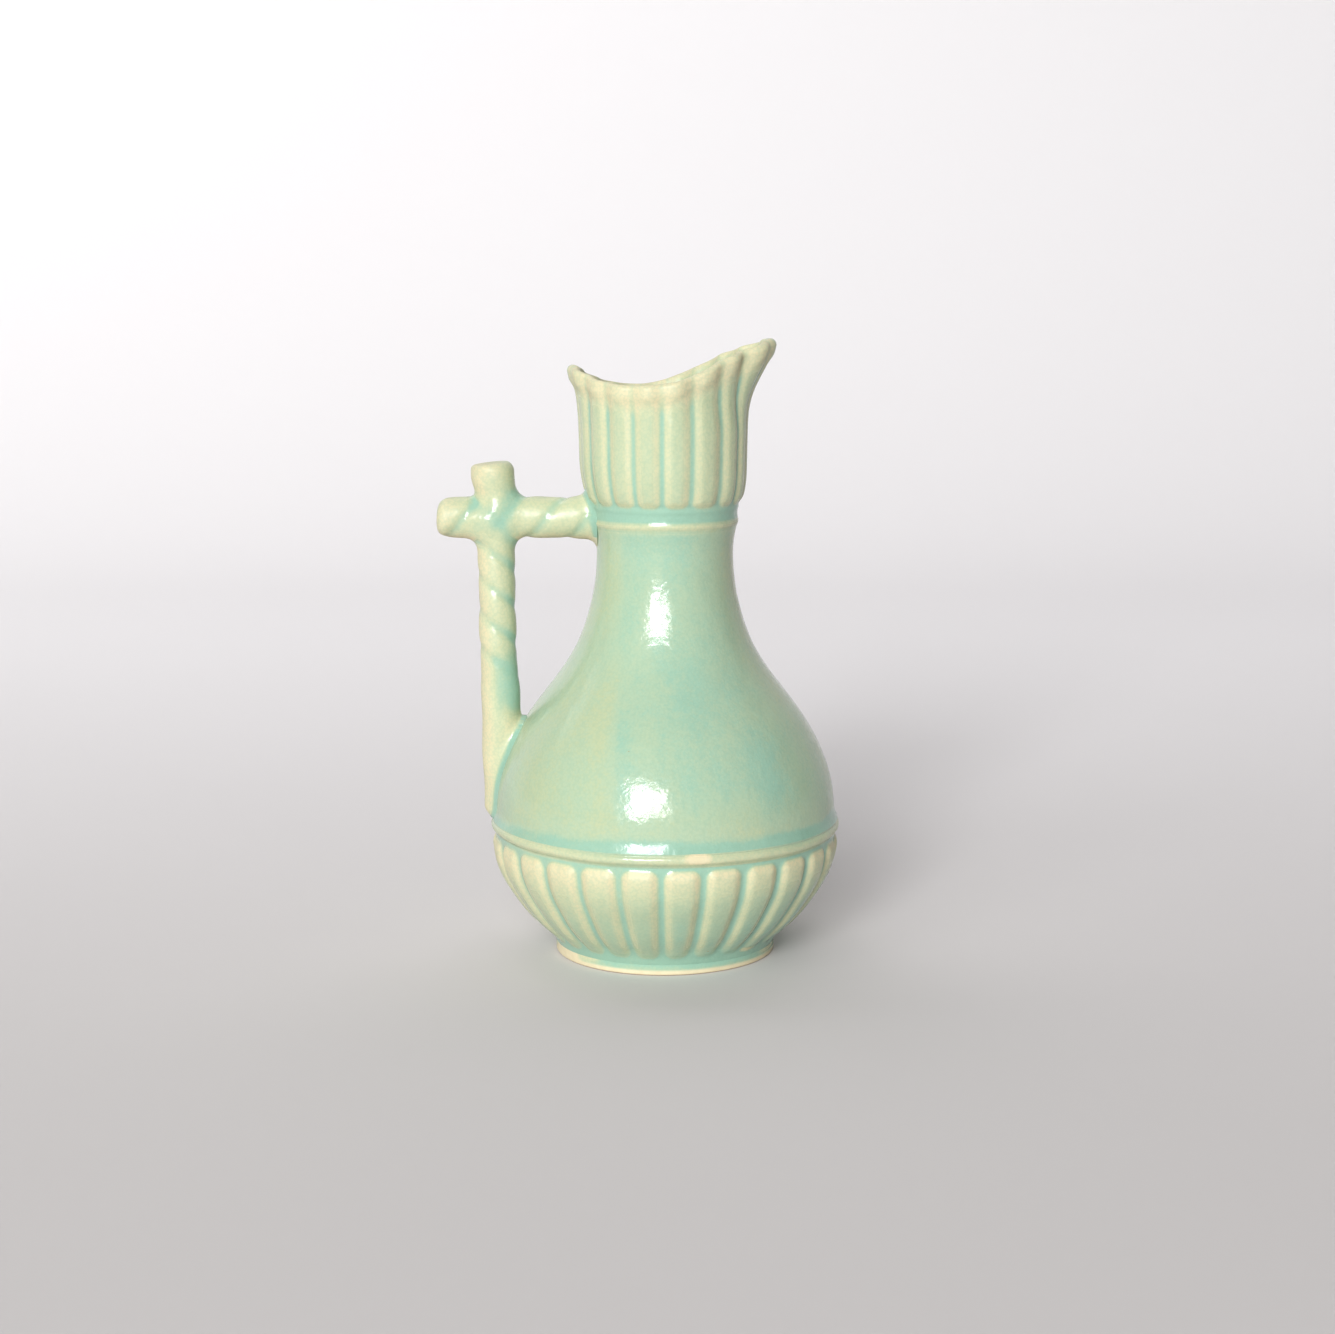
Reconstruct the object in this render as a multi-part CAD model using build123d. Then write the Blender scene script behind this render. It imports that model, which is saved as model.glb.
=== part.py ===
from build123d import *
import math
import os

# Ceramic pitcher with a fluted bowl, a fluted collar with a pouring lip, and a handle of two crossed
# twigs. Millimetres. The origin is on the vessel's axis in the plane it stands on: +Z is up, +X points
# at the pouring lip and -X at the handle.

# Driving dimensions.
foot_radius = 36.5
foot_inner_radius = 30.0
foot_height = 3.6
foot_edge_round = 0.9
floor_thickness = 3.6
bowl_top = 40.6
girdle_top = 45.2
girdle_stand = 1.7
neck_bead_bottom = 142.2
neck_bead_top = 146.2
neck_bead_stand = 0.9
bowl_flutes = 26
bowl_flute_depth = 1.4
bowl_flute_radius = 2.8
bowl_first_groove = -91.2
collar_flutes = 18
collar_flute_depth = 1.1
collar_flute_radius = 2.6
collar_first_groove = -92.0
rim_low = 188.8
rim_low_x = -7.5
rim_slope = 0.405
rim_bend = 8.0
rim_radius = 30.0
groove_stop = 4.0
crossbar_z = 145.3
crossbar_end = -74.8
crossbar_height = 13.6
crossbar_depth = 12.6
upright_x = -55.4
upright_radius = 6.05
upright_top = 163.6
upright_foot = 47.0
twig_end_round = 2.6
feather = 0.15

# Outer outline of the wall as (radius, height): bowl, belly and neck, collar.
bowl_outline = [(35.4, foot_height), (47.2, 14.9), (55.0, 28.5), (57.0, bowl_top)]
belly_outline = [
    (56.7, girdle_top),
    (55.1, 59.0),
    (46.1, 78.7),
    (33.5, 95.6),
    (25.7, 111.5),
    (22.3, 131.0),
    (23.0, neck_bead_bottom),
]
collar_foot = [(23.8, neck_bead_top), (24.0, 148.4), (25.2, 150.0)]
collar_outline = [(25.2, 150.0), (27.4, 159.0), (28.0, 176.0), (31.1, 190.0), (36.6, 204.5)]

# The same outlines one wall inside, as (radius, height).
bowl_cavity = [(26.0, foot_height + floor_thickness), (43.6, 16.6), (51.4, 29.5), (53.4, bowl_top)]
belly_cavity = [
    (53.3, girdle_top),
    (51.4, 58.2),
    (42.7, 76.6),
    (30.4, 93.4),
    (22.6, 109.6),
    (18.9, 131.0),
    (19.6, neck_bead_bottom),
]
collar_cavity = [(20.4, neck_bead_top), (23.6, 158.5), (24.8, 176.5), (27.8, 190.7), (33.4, 204.5)]

up = (0, 1)
lip_run = collar_outline[-1][0] - collar_outline[-2][0]
lip_rise = collar_outline[-1][1] - collar_outline[-2][1]
lip_direction = (lip_run, lip_rise)


def spin(*edges):
    """Solid of revolution about Z from a closed outline drawn as (radius, height)."""
    return revolve(Plane.XZ * make_face(Curve() + list(edges)), Axis.Z)


def bowl_curve():
    return Spline(bowl_outline, tangents=[(1.0, 0.72), up])


def belly_curve():
    return Spline(belly_outline, tangents=[(-0.02, 1), (0.18, 1)])


def collar_curve():
    return Spline(collar_outline, tangents=[(0.42, 1), lip_direction])


def rim_height(x):
    """Height of the rim above x: a hyperbola, low over rim_low_x and climbing to both ends."""
    return rim_low + rim_slope * (math.hypot(x - rim_low_x, rim_bend) - rim_bend)


def bead_arc(lower, upper, stand):
    """Half-round bead between two points of the wall that stands out beyond them."""
    crest = ((lower[0] + upper[0]) / 2 + stand, (lower[1] + upper[1]) / 2)
    return ThreePointArc(lower, crest, upper)


def flute_cutter(outline, start, stop, radius, depth, run_out):
    """Round bar that follows the outline at the given depth and lifts clear of it at its far end."""
    points = []
    steps = 6
    for step in range(steps + 1):
        share = start + (stop - start) * step / steps
        spot = outline @ share
        along = outline % share
        lift = radius - depth
        if step == steps:
            lift += run_out
        elif step == steps - 1:
            lift += run_out * 0.25
        points.append((spot.X + along.Y * lift, spot.Y - along.X * lift))
    path = Plane.XZ * Spline(points)
    return sweep(Plane(origin=path @ 0, z_dir=path % 0) * Circle(radius), path=path)


def around(cutter, count, first):
    """The cutter repeated evenly about Z."""
    return [Rot(0, 0, first + 360.0 * index / count) * cutter for index in range(count)]


# The foot: a turned ring left bare of glaze underneath.
def make_foot_ring():
    ring = Cylinder(foot_radius, foot_height, align=(Align.CENTER, Align.CENTER, Align.MIN))
    ring -= Cylinder(foot_inner_radius, foot_height, align=(Align.CENTER, Align.CENTER, Align.MIN))
    circles = ring.edges().filter_by(GeomType.CIRCLE)
    outer_circles = circles.filter_by(lambda edge: edge.radius > foot_radius - foot_edge_round)
    return fillet(outer_circles.sort_by(Axis.Z)[0], foot_edge_round)


# The fluted bowl: closed floor, grooves that run out under the girdle.
def make_fluted_bowl():
    outside = bowl_curve()
    inside = Spline(bowl_cavity, tangents=[(1, 0.12), up])
    floor_top = bowl_cavity[0][1]
    bowl = spin(
        Line((0, foot_height), bowl_outline[0]),
        outside,
        Line(bowl_outline[-1], bowl_cavity[-1]),
        inside,
        Line(bowl_cavity[0], (0, floor_top)),
        Line((0, floor_top), (0, foot_height)),
    )
    run_out = bowl_flute_depth * 1.4
    cutter = flute_cutter(outside, -0.02, 0.93, bowl_flute_radius, bowl_flute_depth, run_out)
    return bowl - around(cutter, bowl_flutes, bowl_first_groove)


# The girdle: the rounded band where bowl and belly are joined.
def make_girdle():
    lower = bowl_outline[-1]
    upper = belly_outline[0]
    return spin(
        Line(bowl_cavity[-1], lower),
        bead_arc(lower, upper, girdle_stand),
        Line(upper, belly_cavity[0]),
        Line(belly_cavity[0], bowl_cavity[-1]),
    )


# Belly and neck: one smooth wall up to the small bead.
def make_belly_and_neck():
    inside = Spline(belly_cavity, tangents=[(-0.03, 1), (0.15, 1)])
    return spin(
        Line(belly_cavity[0], belly_outline[0]),
        belly_curve(),
        Line(belly_outline[-1], belly_cavity[-1]),
        inside,
    )


# The small bead between neck and collar.
def make_neck_bead():
    lower = belly_outline[-1]
    upper = collar_foot[0]
    return spin(
        Line(belly_cavity[-1], lower),
        bead_arc(lower, upper, neck_bead_stand),
        Line(upper, collar_cavity[0]),
        Line(collar_cavity[0], belly_cavity[-1]),
    )


# The collar: flares to a saddle-shaped rim that climbs to the pouring lip.
def make_fluted_collar():
    outside = collar_curve()
    inside = Spline(collar_cavity, tangents=[(0.3, 1), lip_direction])
    collar = spin(
        Line(collar_cavity[0], collar_foot[0]),
        Line(collar_foot[0], collar_foot[1]),
        Line(collar_foot[1], collar_foot[2]),
        outside,
        Line(collar_outline[-1], collar_cavity[-1]),
        inside,
    )
    reach = foot_radius + 10
    sky = collar_outline[-1][1] + 20
    stations = [-reach, -28, -16, rim_low_x, 2, 14, 28, reach]
    rim_line = Spline([(x, rim_height(x)) for x in stations])
    outline = [
        rim_line,
        Line(rim_line @ 1, (reach, sky)),
        Line((reach, sky), (-reach, sky)),
        Line((-reach, sky), rim_line @ 0),
    ]
    above_rim = make_face(Curve() + outline)
    collar -= extrude(Plane.XZ * above_rim, reach, both=True)
    height = collar_outline[-1][1] - collar_outline[0][1]
    for index in range(collar_flutes):
        turn = collar_first_groove + 360.0 * index / collar_flutes
        groove_x = rim_radius * math.cos(math.radians(turn))
        stop = (rim_height(groove_x) - groove_stop - collar_outline[0][1]) / height
        cutter = flute_cutter(outside, -0.03, stop, collar_flute_radius, collar_flute_depth, 2.0)
        collar -= Rot(0, 0, turn) * cutter
    return collar


def crossbar_blank():
    """Level twig from its free end into the vessel's axis."""
    section = Plane(origin=(crossbar_end, 0, crossbar_z), x_dir=(0, 1, 0), z_dir=(1, 0, 0))
    bar = extrude(section * Ellipse(crossbar_depth / 2, crossbar_height / 2), -crossbar_end)
    return fillet(bar.edges().sort_by(Axis.X)[0], twig_end_round)


def upright_blank():
    """Standing twig from the girdle to its free top."""
    bar = Pos(upright_x, 0, upright_foot) * Cylinder(
        upright_radius, upright_top - upright_foot, align=(Align.CENTER, Align.CENTER, Align.MIN)
    )
    return fillet(bar.edges().sort_by(Axis.Z)[-1], twig_end_round)


def body_core():
    """The vessel's outside before fluting, filled solid: what the handle is fitted against."""
    return spin(
        Line((0, bowl_top), bowl_outline[-1]),
        bead_arc(bowl_outline[-1], belly_outline[0], girdle_stand),
        belly_curve(),
        bead_arc(belly_outline[-1], collar_foot[0], neck_bead_stand),
        Line(collar_foot[0], collar_foot[1]),
        Line(collar_foot[1], collar_foot[2]),
        collar_curve(),
        Line(collar_outline[-1], (0, collar_outline[-1][1])),
        Line((0, collar_outline[-1][1]), (0, bowl_top)),
    )


def half_space(sign):
    """Block that fills the handle's near half (sign -1) or far half (sign +1)."""
    block = Box(140, 20, 240, align=(Align.CENTER, Align.CENTER, Align.CENTER))
    return Pos(upright_x, sign * 10, crossbar_z) * block


# The level twig keeps the near half of the crossing, the standing twig the far half.
def make_crossbar(core):
    crossing = upright_blank() & half_space(1)
    return crossbar_blank() - crossing - core


def make_upright(core):
    crossing = crossbar_blank() & half_space(-1)
    return upright_blank() - crossing - core


# Soft clay worked into the corner between the level twig and the neck.
def make_crossbar_joint(core):
    start = -20.0
    stop = -33.0
    grip = crossbar_height / 2
    flare = 5.3
    at_neck = (start, grip + flare)
    halfway = (start - 6.6, grip + 1.4)
    at_twig = (stop, grip + feather)
    outline = [
        Line((start, 0), at_neck),
        Spline([at_neck, halfway, at_twig], tangents=[(-0.7, -1), (-1, -0.03)]),
        Line(at_twig, (stop, 0)),
        Line((stop, 0), (start, 0)),
    ]
    clay = revolve(Plane.XZ * make_face(Curve() + outline), Axis.X)
    return Pos(0, 0, crossbar_z) * clay - crossbar_blank() - core


# Soft clay worked into the corners between the standing twig and the belly.
def make_upright_joint(core):
    foot_z = 50.0
    head_z = 87.0
    foot_shift = 3.0
    foot_radius_of_clay = upright_radius + 2.3
    head_shift = 1.3
    head_radius_of_clay = upright_radius - 0.3
    wide = Plane(origin=(upright_x + foot_shift, 0, foot_z)) * Circle(foot_radius_of_clay)
    narrow = Plane(origin=(upright_x + head_shift, 0, head_z)) * Circle(head_radius_of_clay)
    clay = loft([wide, narrow])
    return clay - upright_blank() - core


os.makedirs("parts", exist_ok=True)
core = body_core()
pieces = {
    "foot_ring": make_foot_ring(),
    "fluted_bowl": make_fluted_bowl(),
    "girdle": make_girdle(),
    "belly_and_neck": make_belly_and_neck(),
    "neck_bead": make_neck_bead(),
    "fluted_collar": make_fluted_collar(),
    "handle_crossbar": make_crossbar(core),
    "handle_upright": make_upright(core),
    "crossbar_joint": make_crossbar_joint(core),
    "upright_joint": make_upright_joint(core),
}
for name, piece in pieces.items():
    export_step(piece, f"parts/{name}.step")
    box = piece.bounding_box()
    print(name, len(piece.solids()), "solids", round(piece.volume), "mm3", box.min, box.max)
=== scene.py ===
import math

import bpy
import numpy as np
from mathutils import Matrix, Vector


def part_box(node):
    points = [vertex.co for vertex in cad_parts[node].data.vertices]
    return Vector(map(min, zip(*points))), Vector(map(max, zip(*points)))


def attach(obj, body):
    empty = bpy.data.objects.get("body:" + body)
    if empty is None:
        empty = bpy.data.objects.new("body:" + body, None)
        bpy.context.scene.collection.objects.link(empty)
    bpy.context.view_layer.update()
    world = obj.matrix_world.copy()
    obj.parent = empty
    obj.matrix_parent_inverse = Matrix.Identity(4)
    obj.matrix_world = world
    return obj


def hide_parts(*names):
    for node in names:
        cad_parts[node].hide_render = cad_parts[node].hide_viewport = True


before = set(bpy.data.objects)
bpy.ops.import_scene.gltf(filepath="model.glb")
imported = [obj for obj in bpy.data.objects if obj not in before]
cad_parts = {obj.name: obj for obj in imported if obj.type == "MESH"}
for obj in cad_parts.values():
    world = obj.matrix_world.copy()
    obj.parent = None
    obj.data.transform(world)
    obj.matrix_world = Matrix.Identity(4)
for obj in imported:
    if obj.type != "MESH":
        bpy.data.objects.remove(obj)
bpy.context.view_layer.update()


# ------------------------------------------------------------
# Foot ring
# The ring the pitcher stands on: buff clay turned with the bowl on the wheel. The glaze is wiped off
# its lower half before firing, and the standing edge is rubbed smooth and picks up a tan line.
# ------------------------------------------------------------
mm = 0.001
full_turn = 2 * math.pi
foot_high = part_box("foot_ring")[1]
foot_radius = foot_high.x / mm
foot_height = foot_high.z / mm
foot_thickness = 6.5
foot_columns = 360
foot_edge_round = 0.8
foot_joint_round = 0.04
glaze_line = 2.0
buff_clay = 0.7
tan_line = 0.3


def smooth_step(value, low, high):
    """0 below low, 1 above high, and 3t^2 - 2t^3 of the share t in between."""
    share = np.clip((value - low) / (high - low), 0, 1)
    return share * share * (3 - 2 * share)


def bump_at(value, centre, width):
    """Bell of height 1 round centre: exp of minus the squared distance in widths."""
    return np.exp(-(((value - centre) / width) ** 2))


def turned_from(angle, centre):
    """Signed angle from centre, between minus and plus half a turn."""
    return (angle - centre + math.pi) % full_turn - math.pi


def slow_waves(angle, height, waves):
    """Sum of sines round the vessel: each wave is (size, turns, phase, drift with height)."""
    total = np.zeros(np.broadcast(angle, height).shape)
    for size, turns, phase, drift in waves:
        total = total + size * np.sin(turns * angle + phase + drift * height)
    return total


def hand_wobble(angle, height):
    """Radial error of a wall turned by hand, in mm: slow waves shared by every ring of the body."""
    return slow_waves(angle, height, [(0.16, 2, 0.5, 0.015), (0.1, 3, 2.1, -0.02), (0.05, 5, 4.0, 0.03)])


def fair_curve(knots, count):
    """Natural cubic spline through the knots (radius, height), cut into count points spaced evenly.

    Each coordinate is a cubic in the chord length between two knots, with second derivatives that
    solve the usual three-banded system and vanish at both ends."""
    knots = np.asarray(knots, float)
    place = np.concatenate([[0.0], np.cumsum(np.hypot(*np.diff(knots, axis=0).T))])
    gap = np.diff(place)
    last = len(knots) - 1
    inner = np.arange(1, last)
    bands = np.eye(last + 1)
    bands[inner, inner - 1] = gap[:-1]
    bands[inner, inner] = 2 * (gap[:-1] + gap[1:])
    bands[inner, inner + 1] = gap[1:]
    load = np.zeros((last + 1, 2))
    load[inner] = 6 * np.diff(np.diff(knots, axis=0) / gap[:, None], axis=0)
    curl = np.linalg.solve(bands, load)
    where = np.linspace(0, place[-1], 12 * count)
    span = np.clip(np.searchsorted(place, where) - 1, 0, last - 1)
    left = ((place[span + 1] - where) / gap[span])[:, None]
    right = 1 - left
    bend = (left**3 - left) * curl[span] + (right**3 - right) * curl[span + 1]
    fine = left * knots[span] + right * knots[span + 1] + bend * (gap[span] ** 2)[:, None] / 6
    run = np.concatenate([[0.0], np.cumsum(np.hypot(*np.diff(fine, axis=0).T))])
    even = np.linspace(0, run[-1], count)
    return np.stack([np.interp(even, run, fine[:, axis]) for axis in (0, 1)], -1)


def around_axis(radius, angle, height):
    """Points at each radius, angle and height: (r cos a, r sin a, h)."""
    return np.stack([radius * np.cos(angle), radius * np.sin(angle), height + 0 * radius], -1)


def turn_outline(outline, angle, lift=0.0):
    """Rings of points: the outline (radius, height) turned about the axis to every angle.

    lift moves each point along the outline's own normal, the tangent (dr, dz) turned to (dz, -dr)."""
    tangent = np.gradient(outline, axis=0)
    tangent /= np.hypot(*tangent.T)[:, None]
    radius = outline[:, :1] + tangent[:, 1:] * lift
    height = outline[:, 1:] - tangent[:, :1] * lift + 0 * angle
    radius = radius + hand_wobble(angle, height)
    return around_axis(radius, angle, height)


def rounded_box_outline(low_radius, high_radius, low_height, high_height, roundings, steps):
    """Closed outline of a ring's section: a rectangle whose corners are quarter circles, each with
    its own radius, from the lower outer corner round to the lower inner one."""
    corners = [(high_radius, low_height, 1, -1), (high_radius, high_height, 1, 1)]
    corners += [(low_radius, high_height, -1, 1), (low_radius, low_height, -1, -1)]
    start = -math.pi / 2
    outline = []
    for index, (radius, height, side, level) in enumerate(corners):
        rounding = roundings[index]
        sweep = start + index * math.pi / 2 + np.linspace(0, math.pi / 2, steps)
        centre = np.array([radius - side * rounding, height - level * rounding])
        outline.append(centre + rounding * np.stack([np.cos(sweep), np.sin(sweep)], -1))
    return np.concatenate(outline)


def skin(name, rings, glaze, loop=False, creases=()):
    """Closed mesh over a stack of rings given in mm, each ring joined to the next all the way round.

    With loop the last ring joins the first, and without it both end rings close on a pole at their
    middle. glaze holds, for each point, how thin the glaze is, how deep it pools and how bare the
    clay is. Rings named in creases stay sharp."""
    rows, columns = rings.shape[:2]
    cell = np.arange(rows * columns).reshape(rows, columns)
    lower, upper = (cell, np.roll(cell, -1, axis=0)) if loop else (cell[:-1], cell[1:])
    quads = np.stack([lower, np.roll(lower, -1, 1), np.roll(upper, -1, 1), upper], -1).reshape(-1, 4)
    points = rings.reshape(-1, 3)
    coat = np.broadcast_to(glaze, rings.shape).reshape(-1, 3)
    triangles = np.zeros((0, 3), int)
    if not loop:
        first, last = cell[0], cell[-1]
        low_pole = np.full(columns, rows * columns)
        high_pole = low_pole + 1
        points = np.concatenate([points, [rings[0].mean(0), rings[-1].mean(0)]])
        coat = np.concatenate([coat, coat[first].mean(0)[None], coat[last].mean(0)[None]])
        low_fan = np.stack([low_pole, np.roll(first, -1), first], -1)
        high_fan = np.stack([last, np.roll(last, -1), high_pole], -1)
        triangles = np.concatenate([low_fan, high_fan])
    mesh = bpy.data.meshes.new(name)
    mesh.vertices.add(len(points))
    mesh.vertices.foreach_set("co", (points * mm).astype(np.float32).ravel())
    corners = np.concatenate([quads.ravel(), triangles.ravel()])
    mesh.loops.add(len(corners))
    mesh.loops.foreach_set("vertex_index", corners.astype(np.int32))
    sizes = np.concatenate([np.full(len(quads), 4), np.full(len(triangles), 3)])
    mesh.polygons.add(len(sizes))
    mesh.polygons.foreach_set("loop_start", (np.cumsum(sizes) - sizes).astype(np.int32))
    mesh.update(calc_edges=True)
    mesh.polygons.foreach_set("use_smooth", np.ones(len(sizes), bool))
    ends = np.zeros(2 * len(mesh.edges), np.int32)
    mesh.edges.foreach_get("vertices", ends)
    level = ends.reshape(-1, 2) // columns
    crease_rows = [row % rows for row in creases]
    sharp = (level[:, 0] == level[:, 1]) & np.isin(level[:, 0], crease_rows)
    mesh.attributes.new("sharp_edge", "BOOLEAN", "EDGE").data.foreach_set("value", sharp)
    tint = np.ones((len(points), 4), np.float32)
    tint[:, :3] = np.clip(coat, 0, 1)
    mesh.attributes.new("glaze", "FLOAT_COLOR", "POINT").data.foreach_set("color", tint.ravel())
    mesh.validate()
    piece = bpy.data.objects.new(name, mesh)
    bpy.context.scene.collection.objects.link(piece)
    return piece


class Recipe:
    """A material's node tree, with short calls that add a node and join it up."""

    def __init__(self, name):
        self.material = bpy.data.materials.new(name)
        self.material.use_nodes = True
        self.tree = self.material.node_tree
        self.tree.nodes.clear()
        self.shader = self.tree.nodes.new("ShaderNodeBsdfPrincipled")
        output = self.tree.nodes.new("ShaderNodeOutputMaterial")
        self.tree.links.new(self.shader.outputs[0], output.inputs[0])
        place = self.tree.nodes.new("ShaderNodeTexCoord")
        self.place = place.outputs["Object"]

    def join(self, value, socket):
        if isinstance(value, bpy.types.NodeSocket):
            self.tree.links.new(value, socket)
        else:
            socket.default_value = value

    def stretch(self, scale):
        node = self.tree.nodes.new("ShaderNodeMapping")
        node.inputs["Scale"].default_value = scale
        self.join(self.place, node.inputs["Vector"])
        return node.outputs[0]

    def noise(self, scale, detail=2.0, roughness=0.5, place=None):
        node = self.tree.nodes.new("ShaderNodeTexNoise")
        self.join(place or self.place, node.inputs["Vector"])
        node.inputs["Scale"].default_value = scale
        node.inputs["Detail"].default_value = detail
        node.inputs["Roughness"].default_value = roughness
        return node.outputs["Fac"]

    def cells(self, scale):
        node = self.tree.nodes.new("ShaderNodeTexVoronoi")
        self.join(self.place, node.inputs["Vector"])
        node.inputs["Scale"].default_value = scale
        return node.outputs["Distance"]

    def sums(self, kind, first, second=0.0, third=0.0):
        node = self.tree.nodes.new("ShaderNodeMath")
        node.operation = kind
        for index, value in enumerate((first, second, third)):
            self.join(value, node.inputs[index])
        return node.outputs[0]

    def centred(self, pattern):
        """The pattern less a half, so that it swings both ways about 0."""
        return self.sums("SUBTRACT", pattern, 0.5)

    def add(self, base, pattern, amount):
        """The base plus amount times the pattern."""
        return self.sums("MULTIPLY_ADD", pattern, amount, base)

    def ramp(self, value, low, high, low_to=0.0, high_to=1.0):
        node = self.tree.nodes.new("ShaderNodeMapRange")
        node.interpolation_type = "SMOOTHSTEP"
        for name, part in (("Value", value), ("From Min", low), ("From Max", high)):
            self.join(part, node.inputs[name])
        node.inputs["To Min"].default_value = low_to
        node.inputs["To Max"].default_value = high_to
        return node.outputs[0]

    def blend(self, share, first, second):
        node = self.tree.nodes.new("ShaderNodeMix")
        node.data_type = "RGBA"
        self.join(share, node.inputs["Factor"])
        self.join(first, node.inputs["A"])
        self.join(second, node.inputs["B"])
        return node.outputs["Result"]

    def coat_parts(self):
        """The glaze attribute's three numbers: thin, pooled and bare."""
        named = self.tree.nodes.new("ShaderNodeAttribute")
        named.attribute_name = "glaze"
        parts = self.tree.nodes.new("ShaderNodeSeparateColor")
        self.join(named.outputs["Color"], parts.inputs[0])
        return parts.outputs[0], parts.outputs[1], parts.outputs[2]

    def bumps(self, *layers):
        """Each layer is (height socket, distance in metres), laid one over the other."""
        normal = None
        for height, distance in layers:
            node = self.tree.nodes.new("ShaderNodeBump")
            node.inputs["Distance"].default_value = distance
            self.join(height, node.inputs["Height"])
            if normal is not None:
                self.join(normal, node.inputs["Normal"])
            normal = node.outputs[0]
        self.join(normal, self.shader.inputs["Normal"])


straw = (0.44, 0.50, 0.31, 1.0)
mint = (0.385, 0.50, 0.345, 1.0)
lagoon = (0.285, 0.475, 0.365, 1.0)
deep_pool = (0.19, 0.37, 0.28, 1.0)
pale_straw = (0.52, 0.55, 0.35, 1.0)
cream = (0.64, 0.585, 0.37, 1.0)
crystal_green = (0.26, 0.42, 0.30, 1.0)
iron_brown = (0.33, 0.2, 0.08, 1.0)
dark_clay = (0.62, 0.53, 0.34, 1.0)
light_clay = (0.76, 0.68, 0.47, 1.0)
toasted_clay = (0.40, 0.25, 0.13, 1.0)


def celadon_glaze():
    """Glossy celadon over buff clay: blue-green where it pools, mint on open walls, straw and cream
    where it breaks thin over an edge, and bare clay where it was wiped away."""
    glaze = Recipe("celadon_glaze")
    thin, pooled, bare = glaze.coat_parts()
    clouds = glaze.noise(34.0, 3.0, 0.55)
    runs = glaze.noise(75.0, 3.0, 0.6, glaze.stretch((1.0, 1.0, 0.14)))
    flecks = glaze.noise(1300.0, 2.0, 0.7)
    curdle = glaze.noise(420.0, 3.0, 0.65)
    crystals = glaze.cells(1100.0)

    # How deep the glaze lies decides its colour.
    drift = glaze.centred(clouds)
    depth = glaze.add(pooled, glaze.centred(runs), 0.95)
    depth = glaze.add(depth, drift, 0.9)
    depth = glaze.add(depth, glaze.centred(curdle), 0.7)
    depth = glaze.add(depth, glaze.centred(flecks), 0.65)
    colour = glaze.blend(glaze.ramp(depth, -0.35, 0.25), straw, mint)
    colour = glaze.blend(glaze.ramp(depth, 0.15, 0.9), colour, lagoon)
    colour = glaze.blend(glaze.ramp(depth, 0.9, 1.9), colour, deep_pool)

    # Thin glaze over an edge lets the clay warm it.
    edge = glaze.add(thin, drift, 0.5)
    edge = glaze.add(edge, glaze.centred(curdle), 0.4)
    colour = glaze.blend(glaze.ramp(edge, 0.05, 0.55), colour, pale_straw)
    colour = glaze.blend(glaze.ramp(edge, 0.5, 1.1), colour, cream)
    crystal_edge = glaze.ramp(crystals, 0.35, 0.75, 0.0, 0.22)
    colour = glaze.blend(crystal_edge, colour, crystal_green)

    # Iron specks that melted through from the clay.
    speck = glaze.ramp(glaze.cells(95.0), 0.02, 0.04, 1.0, 0.0)
    rare = glaze.ramp(glaze.noise(70.0, 0.0), 0.62, 0.66)
    colour = glaze.blend(glaze.sums("MULTIPLY", speck, rare), colour, iron_brown)

    # Bare clay is buff and dull, and toasted tan where the ring was rubbed.
    clay = glaze.blend(curdle, dark_clay, light_clay)
    colour = glaze.blend(glaze.ramp(bare, 0.35, 0.6), colour, clay)
    colour = glaze.blend(glaze.ramp(bare, 0.8, 1.0), colour, toasted_clay)
    glaze.join(colour, glaze.shader.inputs["Base Color"])
    satin = glaze.ramp(thin, 0.2, 0.9, 0.17, 0.5)
    roughness = glaze.add(satin, glaze.ramp(bare, 0.3, 0.6), 0.45)
    glaze.join(roughness, glaze.shader.inputs["Roughness"])
    glaze.shader.inputs["IOR"].default_value = 1.5
    orange_peel = glaze.noise(500.0, 2.0, 0.5)
    swell = glaze.noise(120.0, 1.0, 0.4)
    glaze.bumps((swell, 0.0003), (orange_peel, 0.00012))
    return glaze.material


celadon = celadon_glaze()


def fired(piece, material, *nodes):
    """Gives a piece its glaze and joins it to the body in place of the plain nodes named."""
    piece.data.materials.append(material)
    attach(piece, "root")
    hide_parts(*nodes)
    return piece


def ring_angles(columns):
    return np.linspace(0, full_turn, columns, endpoint=False)[None, :]


foot_steps = 9
foot_roundings = (foot_edge_round, foot_joint_round, foot_joint_round, foot_edge_round)
foot_inner_radius = foot_radius - foot_thickness
foot_outline = rounded_box_outline(
    foot_inner_radius, foot_radius, 0.0, foot_height, foot_roundings, foot_steps
)
foot_angle = ring_angles(foot_columns)
foot_rings = turn_outline(foot_outline, foot_angle)
wiped_edge = glaze_line + slow_waves(
    foot_angle, 0.0, [(0.18, 3, 0.4, 0), (0.12, 7, 1.0, 0), (0.07, 17, 2.0, 0)]
)
# Where the wiping went higher: (bearing in degrees, extra height, width in radians).
for bearing, extra, spread in ((-155, 2.2, 0.5), (-22, 1.2, 0.35)):
    wiped_edge = wiped_edge + extra * bump_at(turned_from(foot_angle, math.radians(bearing)), 0, spread)
foot_level = foot_rings[..., 2]
foot_bare = buff_clay * smooth_step(wiped_edge - foot_level, -0.3, 0.3)
foot_bare = foot_bare + tan_line * smooth_step(0.42 - foot_level, 0, 0.3)
inside_foot = foot_outline[:, 0] < foot_radius - 1.5
foot_bare[inside_foot] = buff_clay
foot_pool = smooth_step(foot_level, 2.2, 3.4)
foot_thin = bump_at(foot_level, wiped_edge + 0.3, 0.5)
foot_glaze = np.stack([foot_thin, foot_pool, foot_bare], -1)
foot_creases = (foot_steps, 3 * foot_steps - 1)
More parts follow.
